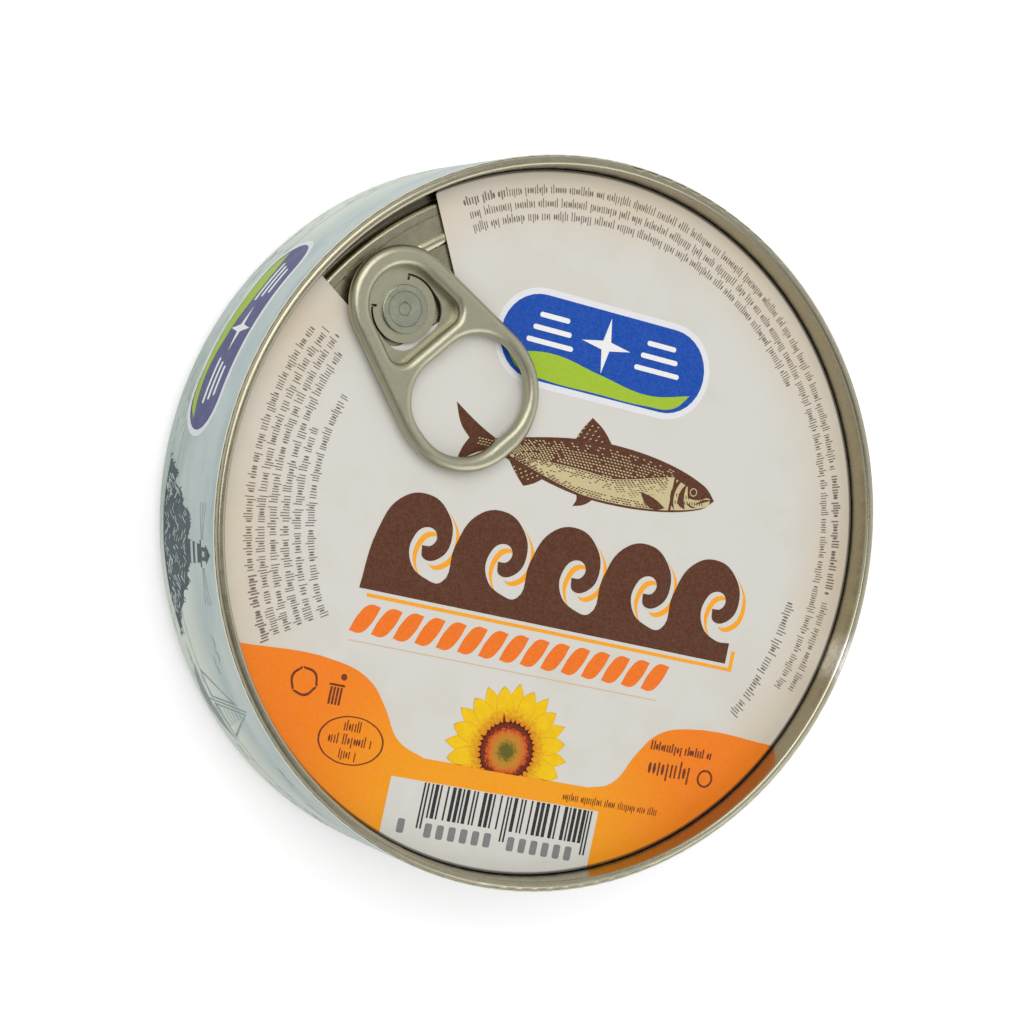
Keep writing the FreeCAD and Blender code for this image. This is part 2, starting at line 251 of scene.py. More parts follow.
def ink(name, main):
    """Offset ink under the same varnish: its screen dots leave it slightly uneven."""
    made, tree = material(name)
    pale = [c + (1 - c) * 0.02 for c in main]
    base = add(tree, "Mix", {
        MIX_BY: patches(tree, 0.35), MIX_FROM: rgba(shade(main, 0.96)), MIX_TO: rgba(pale)}, **TINT)
    coated_paper(tree, base)
    return made


# Pieces

def merge(bm, other):
    """Moves everything of another bmesh into this one."""
    mesh = bpy.data.meshes.new("part")
    other.to_mesh(mesh)
    other.free()
    bm.from_mesh(mesh)
    bpy.data.meshes.remove(mesh)
    return bm


def outline(*loops):
    """Flat filled shape in millimetres. A loop lists (x, y) for smooth points, (x, y, 0) for sharp ones."""
    curve = bpy.data.curves.new("outline", "CURVE")
    curve.dimensions = "2D"
    curve.fill_mode = "BOTH"
    curve.resolution_u = CURVE_STEPS
    for loop in loops:
        spline = curve.splines.new("BEZIER")
        spline.use_cyclic_u = True
        spline.bezier_points.add(len(loop) - 1)
        for knot, (x, y, *corner) in zip(spline.bezier_points, loop):
            knot.co = (x, y, 0)
            knot.handle_left_type = knot.handle_right_type = "VECTOR" if corner else "AUTO"
    shape = bpy.data.objects.new("outline", curve)
    mesh = bpy.data.meshes.new_from_object(shape)
    bm = bmesh.new()
    bm.from_mesh(mesh)
    bmesh.ops.remove_doubles(bm, verts=bm.verts, dist=1e-4)
    bpy.data.meshes.remove(mesh)
    bpy.data.objects.remove(shape)
    bpy.data.curves.remove(curve)
    return bm


def block(bm, x, y, width, height, turn=0.0, round_by=0.0):
    """Adds a flat block, with round corners if asked."""
    place = Matrix.Translation((x, y, 0)) @ Matrix.Rotation(turn, 4, "Z")
    size = Matrix.Diagonal((width, height, 1, 1))
    if not round_by:
        bmesh.ops.create_grid(bm, x_segments=1, y_segments=1, size=0.5, matrix=place @ size)
        return bm
    part = bmesh.new()
    bmesh.ops.create_grid(part, x_segments=1, y_segments=1, size=0.5, matrix=size)
    bmesh.ops.bevel(part, geom=part.verts[:], offset=round_by, affect="VERTICES", segments=8,
                    profile=0.5, material=-1)
    bmesh.ops.transform(part, matrix=place, verts=part.verts)
    return merge(bm, part)


def dot(bm, x, y, radius, segments=32):
    bmesh.ops.create_circle(bm, cap_ends=True, radius=radius, segments=segments,
                            matrix=Matrix.Translation((x, y, 0)))
    return bm


def ring(x, y, radius, wall, squash=1.0):
    """Flat ring, or an oval one, as a line drawn round a place."""
    loops = []
    for size in (radius, radius - wall):
        loops.append([(x + size * math.cos(a), y + size * squash * math.sin(a))
                      for a in (k * math.tau / 12 for k in range(12))])
    return outline(*loops)


def sharp(points):
    """The points of an outline with every corner sharp."""
    return [(x, y, 0) for x, y in points]


def rim_arc(start, end, steps):
    """Points along the print's round edge, from one angle to another."""
    return sharp((PAPER_REACH * math.cos(a), PAPER_REACH * math.sin(a))
                 for a in (start + k * (end - start) / steps for k in range(steps + 1)))


def cut(bm, place, way, clear=False):
    """Cuts a shape across, and may clear what lies beyond the cut."""
    bmesh.ops.bisect_plane(bm, geom=bm.verts[:] + bm.edges[:] + bm.faces[:], dist=1e-4, plane_co=place,
                           plane_no=way, clear_outer=clear)
    return bm


def moved(bm, x=0.0, y=0.0, turn=0.0):
    bmesh.ops.transform(bm, verts=bm.verts,
                        matrix=Matrix.Translation((x, y, 0)) @ Matrix.Rotation(turn, 4, "Z"))
    return bm


def words(bm, draw, spot, run, bold=0.0, tall=ROW_TALL):
    """A row of fine upright strokes and small beads in word-long groups, which say nothing.

    spot gives the place and the turn at a run and a lift. The first stretch of the run may be bold.
    """
    size = tall / ROW_TALL
    along, left = 0.0, draw.randint(*WORD_STROKES)
    while along < run:
        heavy = 1.5 if along < bold else 1.0
        if draw.random() < BEAD_SHARE:
            x, y, turn = spot(along, 0.0)
            place = Matrix.Translation((x, y, 0)) @ Matrix.Rotation(turn, 4, "Z")
            shape = Matrix.Diagonal((BEAD_HALF * size * heavy, 0.44 * tall, 1, 1))
            bmesh.ops.create_circle(bm, cap_ends=True, radius=1, segments=8, matrix=place @ shape)
        else:
            rise, sense = draw.choice(STROKE_RISES)
            x, y, turn = spot(along, (rise - 1) * tall / 2 * sense)
            block(bm, x, y, STROKE_WIDTH * size * heavy, rise * tall, turn)
        left -= 1
        pitch = prints().stroke_pitch / MM * size * draw.uniform(0.82, 1.12) * heavy ** 0.35
        if not left:
            pitch += WORD_GAP * size
            left = draw.randint(*WORD_STROKES)
        along += pitch


def thicken(bm, depth):
    bmesh.ops.solidify(bm, geom=bm.faces[:], thickness=depth)
    foot = min(v.co.z for v in bm.verts)
    bmesh.ops.translate(bm, verts=bm.verts, vec=(0, 0, -foot))
    bmesh.ops.recalc_face_normals(bm, faces=bm.faces)


def piece(name, bm, finish):
    """Makes the bmesh an object in metres, riding on the tin."""
    bmesh.ops.scale(bm, vec=(MM, MM, MM), verts=bm.verts)
    mesh = bpy.data.meshes.new(name)
    bm.to_mesh(mesh)
    bm.free()
    mesh.materials.append(finish)
    made = bpy.data.objects.new(name, mesh)
    bpy.context.scene.collection.objects.link(made)
    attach(made, "root")
    return made


def on_lid(name, bm, layer, finish):
    """Ink on the disc, as many layers deep as it lies over others."""
    thicken(bm, layer * prints().ink_step / MM)
    bmesh.ops.translate(bm, verts=bm.verts, vec=(0, 0, PAPER_TOP))
    return piece(name, bm, finish)


def on_band(name, bm, layer, finish):
    """Ink on the band: cut in narrow strips and wrapped round, with X as the length round."""
    first = math.floor(min(v.co.x for v in bm.verts) / WRAP_STEP)
    last = math.ceil(max(v.co.x for v in bm.verts) / WRAP_STEP)
    for step in range(first + 1, last):
        cut(bm, (step * WRAP_STEP, 0, 0), (1, 0, 0))
    thicken(bm, layer * prints().ink_step / MM)
    for v in bm.verts:
        turn = BAND_MIDDLE + v.co.x / BAND_RADIUS
        reach = BAND_RADIUS + v.co.z
        v.co = (reach * math.cos(turn), reach * math.sin(turn), v.co.y)
    return piece(name, bm, finish)


def panel(name, x, y, width, height, put, main):
    """Plain blue panel with a pale edge, a green stripe, a star and short bars."""
    edge = 0.9
    put(name + "_edge", block(bmesh.new(), x, y, width + 2 * edge, height + 2 * edge,
                              round_by=height / 2 + edge - 0.05), 1, ink("pale edge ink", srgb("E2E2E4")))
    put(name, block(bmesh.new(), x, y, width, height, round_by=height / 2 - 0.05), 2,
        ink("blue ink", main))
    # The rest is laid out in shares of the panel's half width and half height.
    w, h = width / 2, height / 2
    stripe = [(-0.9, -0.5, 0), (-0.5, -0.3), (0, -0.5), (0.5, -0.68), (0.9, -0.45, 0), (0.77, -0.83),
              (0.5, -0.94), (0, -0.95), (-0.5, -0.94), (-0.77, -0.83)]
    stripe = outline([(x + a * w, y + b * h, *s) for a, b, *s in stripe])
    put(name + "_stripe", stripe, 3, ink("green ink", colours().green))
    star = []
    for k in range(8):
        reach = (0.66, 0.15)[k % 2] * h
        angle = math.pi / 2 + k * math.pi / 4
        star.append((x + reach * math.cos(angle), y + 0.2 * h + reach * math.sin(angle)))
    white = outline(sharp(star))
    for side in (-1, 1):
        for k in range(3):
            block(white, x + side * 0.53 * w, y + (0.31 * k - 0.09) * h, (0.45 - 0.08 * k) * w, 0.12 * h,
                  round_by=0.058 * h)
    put(name + "_star", white, 4, ink("panel white ink", srgb("ECECEA")))


# Along the fish: its tail's root, its deepest place, its nose and the ends of its pale flank
FISH_TAIL, FISH_DEEP, FISH_NOSE = -12.4, 7.0, 24.6
FLANK_START, FLANK_END = -9.0, 17.4
FLANK_RUN = FLANK_END - FLANK_START
# Its middle line's height, and half its depth at the deepest place and at the tail's root
FISH_LINE, HALF_DEPTH, HALF_ROOT = 8.7, 4.2, 0.6


def fish_y(x, part):
    """Height on the fish at x, with part running from -1 at the belly to 1 at the back."""
    if x < FISH_DEEP:
        back = (FISH_DEEP - x) / (FISH_DEEP - FISH_TAIL)
        half = HALF_ROOT + (HALF_DEPTH - HALF_ROOT) * math.cos(math.pi / 2 * back)
        return FISH_LINE + 0.35 * back ** 2 + part * half
    ahead = (x - FISH_DEEP) / (FISH_NOSE - FISH_DEEP)
    return FISH_LINE - 0.25 * ahead ** 2 + part * HALF_DEPTH * max(0.0, 1 - ahead ** 2) ** 0.6


def fish_strip(start, end, low, high, steps):
    """Part of the fish between two lines, each a function that gives the part at a share of the run."""
    loop = []
    for line, order in ((high, range(steps + 1)), (low, range(steps, -1, -1))):
        for k in order:
            x = start + (end - start) * k / steps
            loop.append((x, fish_y(x, line(k / steps)), *([0] if k in (0, steps) else [])))
    return outline(loop)


def flank_top(share):
    """The pale flank's upper edge: a low arch, which climbs at the shoulder."""
    shoulder = max(0.0, (share - 0.6) / 0.4)
    return -0.42 + 0.36 * math.sin(math.pi * share ** 0.8) - 0.05 * share + 1.05 * shoulder ** 1.4


def flank_low(share):
    """The pale flank's lower edge, which nears the belly soon after its start."""
    return -0.62 - 0.3 * min(1.0, 2.2 * share) ** 0.7


class TinOperator:
    bl_options = {"REGISTER", "UNDO"}


class FISHTIN_OT_metal(TinOperator, Operator):
    """Finishes the lid, the seam, the rivet, the pull tab and the body"""
    bl_idname = "fishtin.metal"
    bl_label = "Metal Finishes"

    def execute(self, context):
        # Lacquered tinplate, drawn and seamed by rollers: a soft olive-grey shine with fine lines
        # round the lid. The rivet's head was pressed flat and has no lines; its paler, greyer tint is a
        # painted reflection, standing in for what its flat face mirrors.
        made, tree = material("lacquered tinplate")
        height = add(tree, "SeparateXYZ", {"Vector": (add(tree, "TexCoord"), "Object")})
        round_place = add(tree, "CombineXYZ", {"X": distance_from(tree, 0, 0), "Z": (height, "Z")})
        lines = patches(tree, 0.3, place=round_place)
        plate = uneven(tree, colours().tinplate, lines, 0.93)
        from_rivet = distance_from(tree, *RIVET_PLACE)
        head = add(tree, "Math", {0: from_rivet, 1: RIVET_HEAD * MM}, operation="LESS_THAN")
        base = add(tree, "Mix", {MIX_BY: head, MIX_FROM: plate, MIX_TO: rgba(colours().rivet)}, **TINT)
        # Painted shade and a painted highlight, laid over the metal, each a mask with its colour
        marks = []
        # Painted shade: dark rings at the rivet head's dimple, its dish and its edge, where its shape dips
        # and turns.
        for radius in (0.85, 2.4, RIVET_HEAD - 0.2):
            ring_shade = add(tree, "Math", {
                0: from_rivet, 1: radius * MM, 2: 0.09 * MM}, operation="COMPARE")
            ring_shade = add(tree, "Math", {0: ring_shade, 1: 0.4}, operation="MULTIPLY")
            marks.append((ring_shade, "4E4C40"))
        # Painted shade: the groove is darkened, standing in for the shadow deep inside it.
        groove_shade = add(tree, "MapRange", {"Value": (height, "Z"), "From Min": GROOVE_BRIM * MM,
                                        "From Max": GROOVE_FOOT * MM, "To Max": 0.8})
        marks.append((groove_shade, "3A362A"))
        # Painted highlight: a whitish glare on the wall, broken up a little, standing in for a lamp's
        # reflection.
        near = add(tree, "MapRange", {"Value": distance_from(tree, *GLARE_PLACE),
                                      "From Min": 4.6 * MM, "From Max": 0.8 * MM}, **SOFT)
        painted_glare = add(tree, "Math", {0: near, 1: patches(tree, 0.8, 0.55)}, operation="MULTIPLY")
        marks.append((painted_glare, "F0EFE8"))
        for mask, code in marks:
            base = add(tree, "Mix", {MIX_BY: mask, MIX_FROM: base, MIX_TO: rgba(srgb(code))}, **TINT)
        surface(tree, base, patches(tree, 1.5, 0.24, 0.3), lines, 0.05, 0.03, LACQUERED)
        finish_node("can_end", made)

        # Thicker plate, blanked and curled, left with a satin skin and small handling marks.
        made, tree = material("satin tab plate")
        base = uneven(tree, colours().tab, patches(tree, 0.5), 0.97)
        surface(tree, base, patches(tree, 0.3, 0.34, 0.4), patches(tree, 0.2), 0.08, 0.04, LACQUERED)
        finish_node("pull_tab", made)

        # Stoved enamel on drawn plate: smooth and pale, with a trace of orange peel.
        made, tree = material("pale body enamel")
        base = uneven(tree, colours().enamel, patches(tree, 2.5), 0.94)
        surface(tree, base, patches(tree, 2, 0.25, 0.34), patches(tree, 0.8), 0.1, 0.1, {"IOR": 1.5})
        finish_node("can_body", made)
        return {"FINISHED"}


class FISHTIN_OT_paper(TinOperator, Operator):
    """Finishes the paper disc on the lid and the paper band round the side"""
    bl_idname = "fishtin.paper"
    bl_label = "Paper Finishes"

    def execute(self, context):
        # White art paper printed with a warm edge, a little soiled by handling.
        made, tree = material("coated paper disc")
        edge = add(tree, "MapRange", {
            "Value": distance_from(tree, 0, 0), "From Min": 37 * MM, "From Max": 47 * MM}, **SOFT)
        edge = add(tree, "Math", {0: edge, 1: patches(tree, 14, 0.6)}, operation="MULTIPLY")
        base = add(tree, "Mix", {
            MIX_BY: edge, MIX_FROM: rgba(colours().paper), MIX_TO: rgba(colours().paper_edge)}, **TINT)
        smudge = patches(tree, 5, 0, 0.22, contrast=0.12)
        smudge = add(tree, "Math", {0: smudge, 1: patches(tree, 19, contrast=0.1)}, operation="MULTIPLY")
        # Small round specks lie one to a cell, in the cells whose random colour picks them.
        cells = add(tree, "TexVoronoi", {
            "Vector": (add(tree, "TexCoord"), "Object"), "Scale": 1 / (5 * MM)})
        speck = add(tree, "Math", {0: (cells, "Distance"), 1: 0.024}, operation="LESS_THAN")
        chosen = add(tree, "Math", {0: (cells, "Color"), 1: 0.55}, operation="GREATER_THAN")
        speck = add(tree, "Math", {0: speck, 1: chosen}, operation="MULTIPLY")
        for mask, code in ((smudge, "C9BFB0"), (speck, "9A8C7A")):
            base = add(tree, "Mix", {MIX_BY: mask, MIX_FROM: base, MIX_TO: rgba(srgb(code))}, **TINT)
        coated_paper(tree, rim_shadow(tree, base))
        finish_node("lid_label", made)

        # The same paper with a printed sky and sea tint; its cut edge shows the white paper.
        made, tree = material("coated paper band")
        place = add(tree, "SeparateXYZ", {"Vector": (add(tree, "TexCoord"), "Object")})
        rise = add(tree, "MapRange", {
            "Value": (place, "Z"), "From Min": 6 * MM, "From Max": 19 * MM}, **SOFT)
        base = add(tree, "Mix", {
            MIX_BY: rise, MIX_FROM: rgba(colours().sea), MIX_TO: rgba(colours().sky)}, **TINT)
        cloud = patches(tree, 15, 0, 0.55, squash=(1, 1, 2.2), contrast=0.16)
        # Painted light: the print is paled to both sides of a clear stretch, most of all near the foot, for
        # the light thrown up from the pale floor.
        clear_way = (-0.985, 0.174, 0)
        ahead = add(tree, "VectorMath", {
            0: (add(tree, "TexCoord"), "Object"), 1: clear_way}, operation="DOT_PRODUCT")
        aside = add(tree, "MapRange", {
            "Value": ahead, "From Min": 50.2 * MM, "From Max": 43.5 * MM}, **SOFT)
        low = add(tree, "MapRange", {"Value": (place, "Z"), "From Min": 9 * MM, "From Max": 19 * MM,
                                     "To Min": 0.85, "To Max": 0.25}, **SOFT)
        floor_bounce = add(tree, "Math", {0: aside, 1: low}, operation="MULTIPLY")
        top = add(tree, "Math", {0: (place, "Z"), 1: (BAND_TOP - 0.05) * MM}, operation="GREATER_THAN")
        for mask, tone in ((cloud, srgb("CFD8D4")), (floor_bounce, srgb("DEE4D8")), (top, colours().cut_edge)):
            base = add(tree, "Mix", {MIX_BY: mask, MIX_FROM: base, MIX_TO: rgba(tone)}, **TINT)
        coated_paper(tree, base)
        finish_node("side_label", made)
        return {"FINISHED"}


class FISHTIN_OT_orange_field(TinOperator, Operator):
    """Prints the orange field at the foot of the disc"""
    bl_idname = "fishtin.orange_field"
    bl_label = "Orange Field"

    def execute(self, context):
        top, valley = -24.6, -35.4
        start = math.asin(top / PAPER_REACH)
        arc = rim_arc(-math.pi - start, start, 72)
        hill = [(28.2, top), (23.4, -26.2), (20.6, -29.5), (17.6, -34.2), (14.0, valley, 0),
                (-12.2, valley, 0), (-16.6, -33.6), (-19.6, -29.4), (-22.4, -26.4), (-27.4, top)]
        # Ink that fades from orange at the sides to amber over the bars.
        made, tree = material("orange ink")
        far = add(tree, "MapRange", {
            "Value": distance_from(tree, 0, -46), "From Min": 12 * MM, "From Max": 36 * MM}, **SOFT)
        base = add(tree, "Mix", {
            MIX_BY: far, MIX_FROM: rgba(colours().amber), MIX_TO: rgba(colours().orange)}, **TINT)
        base = add(tree, "Mix", {
            MIX_BY: patches(tree, 0.35, 0, 0.02), MIX_FROM: base, MIX_TO: WHITE}, **TINT)
        coated_paper(tree, rim_shadow(tree, base))
        on_lid("orange_field", outline(arc + hill), 3, made)
        return {"FINISHED"}


class FISHTIN_OT_bars(TinOperator, Operator):
    """Prints the white box, the bars and the small blocks under them"""
    bl_idname = "fishtin.bars"
    bl_label = "Bars"

    def execute(self, context):
        left, right, top = -16.5, 16.4, -38.5
        arc = rim_arc(-math.acos(left / PAPER_REACH), -math.acos(right / PAPER_REACH), 24)
        made, tree = material("white ink")
        base = uneven(tree, colours().paper, patches(tree, 2), 0.97)
        coated_paper(tree, rim_shadow(tree, base))
        on_lid("white_box", outline([(right, top, 0), (left, top, 0)] + arc), 4, made)

        # Long pairs of bars stand at the ends and in the middle; the rest fall at random.
        draw = random.Random(7)
        step = 0.27
        start, middle, end = -10.9, 2.1, 15.1
        bar_top, long_foot, short_foot = top - 0.1, -45.0, -43.4
        bars = bmesh.new()
        for guard in (start, middle, end):
            for side in (-1, 1):
                block(bars, guard + side * step, (bar_top + long_foot) / 2, step, bar_top - long_foot)
        for begin, stop in ((start, middle), (middle, end)):
            x = begin + 3 * step
            while x < stop - 4 * step:
                width = step * draw.choice((1, 1, 1, 2, 2, 3))
                block(bars, x + width / 2, (bar_top + short_foot) / 2, width, bar_top - short_foot)
                x += width + step * draw.choice((1, 1, 2, 2, 3))
        on_lid("bars", bars, 5, ink("black ink", srgb("262628")))
        places = [(-13.6, -45.0)]
        places += [(begin + 1.5 + 1.85 * k, -45.1) for k in range(6) for begin in (start, middle)]
        blocks = bmesh.new()
        for x, y in places:
            block(blocks, x, y, 1.1, 2.0, round_by=0.3)
        on_lid("bar_blocks", blocks, 5, ink("grey ink", srgb("7E7E7E")))
        return {"FINISHED"}


class FISHTIN_OT_sunflower(TinOperator, Operator):
    """Prints the sunflower that rises behind the orange field"""
    bl_idname = "fishtin.sunflower"
    bl_label = "Sunflower"

    def execute(self, context):
        x, y = 0.0, -32.4
        foot = (0, -35.5, 0), (0, -1, 0)
        count = prints().petal_count

        # Petals shaded from an orange root to a yellow tip, each a little darker along its edges.
        made, tree = material("petal ink")
        far = distance_from(tree, x, y)
        root = add(tree, "Math", {0: far, 1: patches(tree, 0.5, -0.5 * MM, 0.5 * MM)}, operation="ADD")
        root = add(tree, "MapRange", {"Value": root, "From Min": 4.0 * MM, "From Max": 6.6 * MM}, **SOFT)
        base = add(tree, "Mix", {
            MIX_BY: root, MIX_FROM: rgba(colours().petal_root), MIX_TO: rgba(colours().petal)}, **TINT)
        base = add(tree, "Mix", {
            MIX_BY: patches(tree, 1.4, 0, 0.3), MIX_FROM: base, MIX_TO: rgba(srgb("DDA40E"))}, **TINT)
        coated_paper(tree, base)
        edge_ink = ink("petal edge ink", srgb("DDA614"))

        def petal(reach, width, trim):
            w = width / 2 - trim
            return outline([(3.0, -w * 0.5, 0), (4.8, -w * 0.85), (6.8, -w), (8.3, -w * 0.62),
                            (reach - trim * 2.5, 0, 0), (8.3, w * 0.62), (6.8, w), (4.8, w * 0.85),
                            (3.0, w * 0.5, 0)])

        for row, (turn, reach, width) in enumerate(((0.0, 9.7, 2.7), (0.5, 9.2, 2.6))):
            for kind, trim, finish in (("edge", 0.0, edge_ink), ("fill", 0.1, made)):
                petals = bmesh.new()
                for i in range(count):
                    angle = math.pi / 2 + (i + turn) * math.tau / count
                    merge(petals, moved(petal(reach, width, trim), x, y, angle))
                layer = 1 + 2 * row + (kind == "fill")
                on_lid("petals_%s_%d" % (kind, row), cut(petals, *foot, clear=True), layer, finish)

        # Seed head: a dark jagged rim, then rings of red-brown and amber round an olive heart.
        made, tree = material("seed head ink")
        jag = add(tree, "Math", {
            0: distance_from(tree, x, y), 1: patches(tree, 0.35, -0.3 * MM, 0.3 * MM)}, operation="ADD")
        base = rgba(srgb("625C1C"))
        for start, end, code in ((0.8, 1.9, "B98428"), (1.8, 2.5, "C67428"), (2.6, 3.0, "C4501E"),
                                 (3.1, 3.5, "6A2612")):
            mask = add(tree, "MapRange", {
                "Value": jag, "From Min": start * MM, "From Max": end * MM}, **SOFT)
            base = add(tree, "Mix", {MIX_BY: mask, MIX_FROM: base, MIX_TO: rgba(srgb(code))}, **TINT)
        coated_paper(tree, base)
        draw = random.Random(3)
        radius, spikes = 4.1, 34
        head = dot(bmesh.new(), x, y, radius, 64)
        for k in range(spikes):
            angle = (k + draw.uniform(-0.2, 0.2)) * math.tau / spikes
            spike = draw.choice((0.35, 0.5, 0.7, 0.5, 1.5 if k % 7 == 3 else 0.4))
            tip = outline(sharp([(radius - 0.1, -0.26), (radius + spike, 0), (radius - 0.1, 0.26)]))
            merge(head, moved(tip, x, y, angle))
        on_lid("seed_head", cut(head, *foot, clear=True), 5, made)
        return {"FINISHED"}


class FISHTIN_OT_blue_panels(TinOperator, Operator):
    """Prints the plain blue panels, one on the lid and two on the band"""
    bl_idname = "fishtin.blue_panels"
    bl_label = "Blue Panels"

    def execute(self, context):
        panel("panel", 2.2, 25.0, 33.0, 12.0, on_lid, colours().blue)
        for side, x in (("near", -17.0), ("far", BAND_HALF_LENGTH - 17.0)):
            panel("side_panel_" + side, x, 13.6, 30.0, 10.4, on_band, colours().side_blue)
        return {"FINISHED"}


class FISHTIN_OT_fish(TinOperator, Operator):
    """Prints the plain fish, brown with rows of pale scales"""
    bl_idname = "fishtin.fish"
    bl_label = "Fish"

    def execute(self, context):
        brown = ink("brown ink", colours().brown)
        cream = ink("cream ink", colours().cream)
        draw = random.Random(17)

        fins = bmesh.new()
        for fin in (
                [(-11.4, 9.75, 0), (-14.4, 11.1), (-18.6, 13.5, 0), (-17.2, 10.6), (-15.6, 9.1, 0),
                 (-16.3, 7.7), (-16.9, 5.3, 0), (-13.8, 7.5), (-11.4, 8.3, 0)],
                [(0.4, 12.0, 0), (1.2, 13.9), (2.5, 15.9, 0), (4.6, 14.6), (6.6, 12.6, 0)],
                [(5.4, 4.9, 0), (4.0, 3.7), (2.2, 3.1, 0), (2.6, 4.2), (2.2, 5.2, 0)],
                [(-3.2, 5.9, 0), (-4.6, 4.9), (-6.0, 4.3, 0), (-7.4, 5.6), (-9.0, 7.4, 0)]):
            merge(fins, outline(fin))
        on_lid("fish_fins", fins, 1, brown)
        on_lid("fish_body", fish_strip(FISH_TAIL, FISH_NOSE, lambda s: -1, lambda s: 1, 24), 2, brown)

        pale = fish_strip(FLANK_START, FLANK_END, flank_low, flank_top, 24)
        merge(pale, fish_strip(17.8, 23.9, lambda s: -0.9, lambda s: 0.52 - 0.4 * s, 8))
        on_lid("fish_belly", pale, 3, cream)

        # Rows of scales run from the back down to the flank: sparse first, then close and thicker.
        scales = bmesh.new()
        pitch, gills = 0.56, 17.0
        for row in range(13):
            part = 0.8 - 0.098 * row
            x = -11.6 + 0.31 * (row % 2)
            while x < gills:
                share = (x - FLANK_START) / FLANK_RUN
                on_flank = 0 < share < 1 and part < flank_top(share) + 0.04
                if not on_flank and draw.random() < 0.9 - 0.35 * (part > 0.6):
                    block(scales, x, fish_y(x, part), 0.33, 0.13 + 0.04 * (part < 0.3), -0.25)
                x += pitch
        # Ticks on two fins, fewer in each row outwards, and on the tail
        for x, y, along, across, rows in ((0.9, 12.9, (0.95, 0.0), (0.28, 0.62), 4),
                                          (-8.0, 6.6, (0.95, -0.12), (0.3, -0.5), 3)):
            for i in range(5):
                for j in range(rows):
                    if i - 0.3 * j < 4.2 - j:
                        block(scales, x + along[0] * i + across[0] * j,
                              y + along[1] * i + across[1] * j, 0.3, 0.14, 0.6)
        for i in range(7):
            for j in range(3):
                block(scales, -14.1 + 0.5 * i + 0.2 * (j % 2), 8.62 + 0.38 * j, 0.3, 0.15, 0.2)
        on_lid("fish_scales", scales, 3, cream)

        # Brown strokes thin out from the flank's edges inwards, and shade the head below.
        hatching = bmesh.new()
        strokes = 46
        for edge, sense, rows in ((flank_top, -1, 9), (flank_low, 1, 3)):
            for row in range(rows):
                for k in range(strokes):
                    share = (k + 0.5 * (row % 2) + 1.5) / (strokes + 3)
                    x = FLANK_START + FLANK_RUN * share
                    part = edge(share) + sense * (0.05 + 0.075 * row)
                    if draw.random() < 0.95 - (0.17 if share < 0.66 else 0.07) * row:
                        block(hatching, x, fish_y(x, part), 0.36, 0.17 - 0.014 * row)
        for k in range(24):
            x = 18.3 + 0.4 * (k // 2)
            block(hatching, x, fish_y(x, -0.18 - 0.34 * (k % 2)), 0.13, 0.5, 0.4)
        on_lid("fish_hatching", hatching, 4, brown)

        lines = bmesh.new()
        for loop in (
                [(12.4, 7.3, 0), (13.8, 7.1), (15.6, 6.5), (16.8, 5.8, 0), (15.2, 5.3), (13.6, 5.8)],
                [(19.4, 11.2, 0), (17.6, 9.4), (17.4, 7.2), (18.4, 5.8, 0), (17.9, 7.4), (18.2, 9.3)],
                [(19.7, 10.2, 0), (18.7, 8.4), (18.9, 6.8), (20.1, 6.3, 0), (19.8, 7.0), (19.5, 8.4)],
                [(24.3, 8.5, 0), (22.9, 8.3), (21.4, 7.2, 0), (22.9, 7.9)],
                [(21.9, 6.9, 0), (20.9, 6.8), (19.9, 7.6, 0), (20.8, 7.1)],
                [(19.8, 9.6, 0), (20.6, 10.2), (22.4, 9.4, 0), (23.4, 8.7, 0), (21.9, 8.1),
                 (20.2, 8.0, 0)]):
            merge(lines, outline(loop))
        on_lid("fish_lines", lines, 5, brown)
        # An eye of three discs, with a pale ring
        for k, (radius, finish) in enumerate(((0.85, brown), (0.6, cream), (0.46, brown))):
            on_lid("fish_eye_%d" % k, dot(bmesh.new(), 20.9, 9.0, radius), 6 + k, finish)
        return {"FINISHED"}


class FISHTIN_OT_scroll(TinOperator, Operator):
    """Prints the bold wave scroll, its offset shadow, the rope under it and the thin rule"""
    bl_idname = "fishtin.scroll"
    bl_label = "Wave Scroll and Rope"

    def execute(self, context):
        pitch = prints().scroll_pitch / MM
        count = prints().scroll_count
        left, foot, sill = -27.0, -14.2, 3.0
        # One wave, drawn from right to left: its sill, round the curl and over the crest
        wave = [(0.0, sill), (-2.4, sill), (-5.2, 4.9), (-5.5, 8.2), (-3.7, 10.0), (-2.1, 9.2),
                (-2.5, 7.7), (-4.0, 7.4, 0), (-3.4, 5.7), (-1.0, 6.2), (0.2, 9.0), (-1.2, 12.6),
                (-4.6, 14.4), (-8.6, 13.0), (-10.9, 8.2)]

        def scroll(dx, dy):
            loop = [(left + dx, foot + dy, 0), (left + pitch * count + dx, foot + dy, 0),
                    (left + pitch * count + dx, foot + sill + dy, 0)]
            for k in range(count, 0, -1):
                loop += [(left + pitch * k + x + dx, foot + y + dy, *s)
                         for x, y, *s in wave[k == count:]]
            return outline(loop)

        on_lid("scroll_shadow", scroll(1.3, -1.0), 1, ink("scroll edge ink", colours().scroll_edge))
        on_lid("scroll_gap", scroll(0.65, -0.5), 2, ink("gap ink", colours().paper))
        on_lid("scroll", scroll(0, 0), 3, ink("scroll ink", colours().brown))

        rope = bmesh.new()
        for k in range(15):
            strand = outline([(-2.0, -1.9, 0), (-0.3, -2.0), (1.0, -0.6), (2.0, 1.9, 0), (0.3, 2.0),
                              (-1.0, 0.6)])
            merge(rope, moved(strand, -25.2 + 3.3 * k, -18.2))
        on_lid("rope", rope, 1, ink("rope ink", colours().rope))
        on_lid("rule", block(bmesh.new(), -2.5, -21.4, 49, 0.16), 1, ink("rule ink", srgb("D3B79A")))
        return {"FINISHED"}


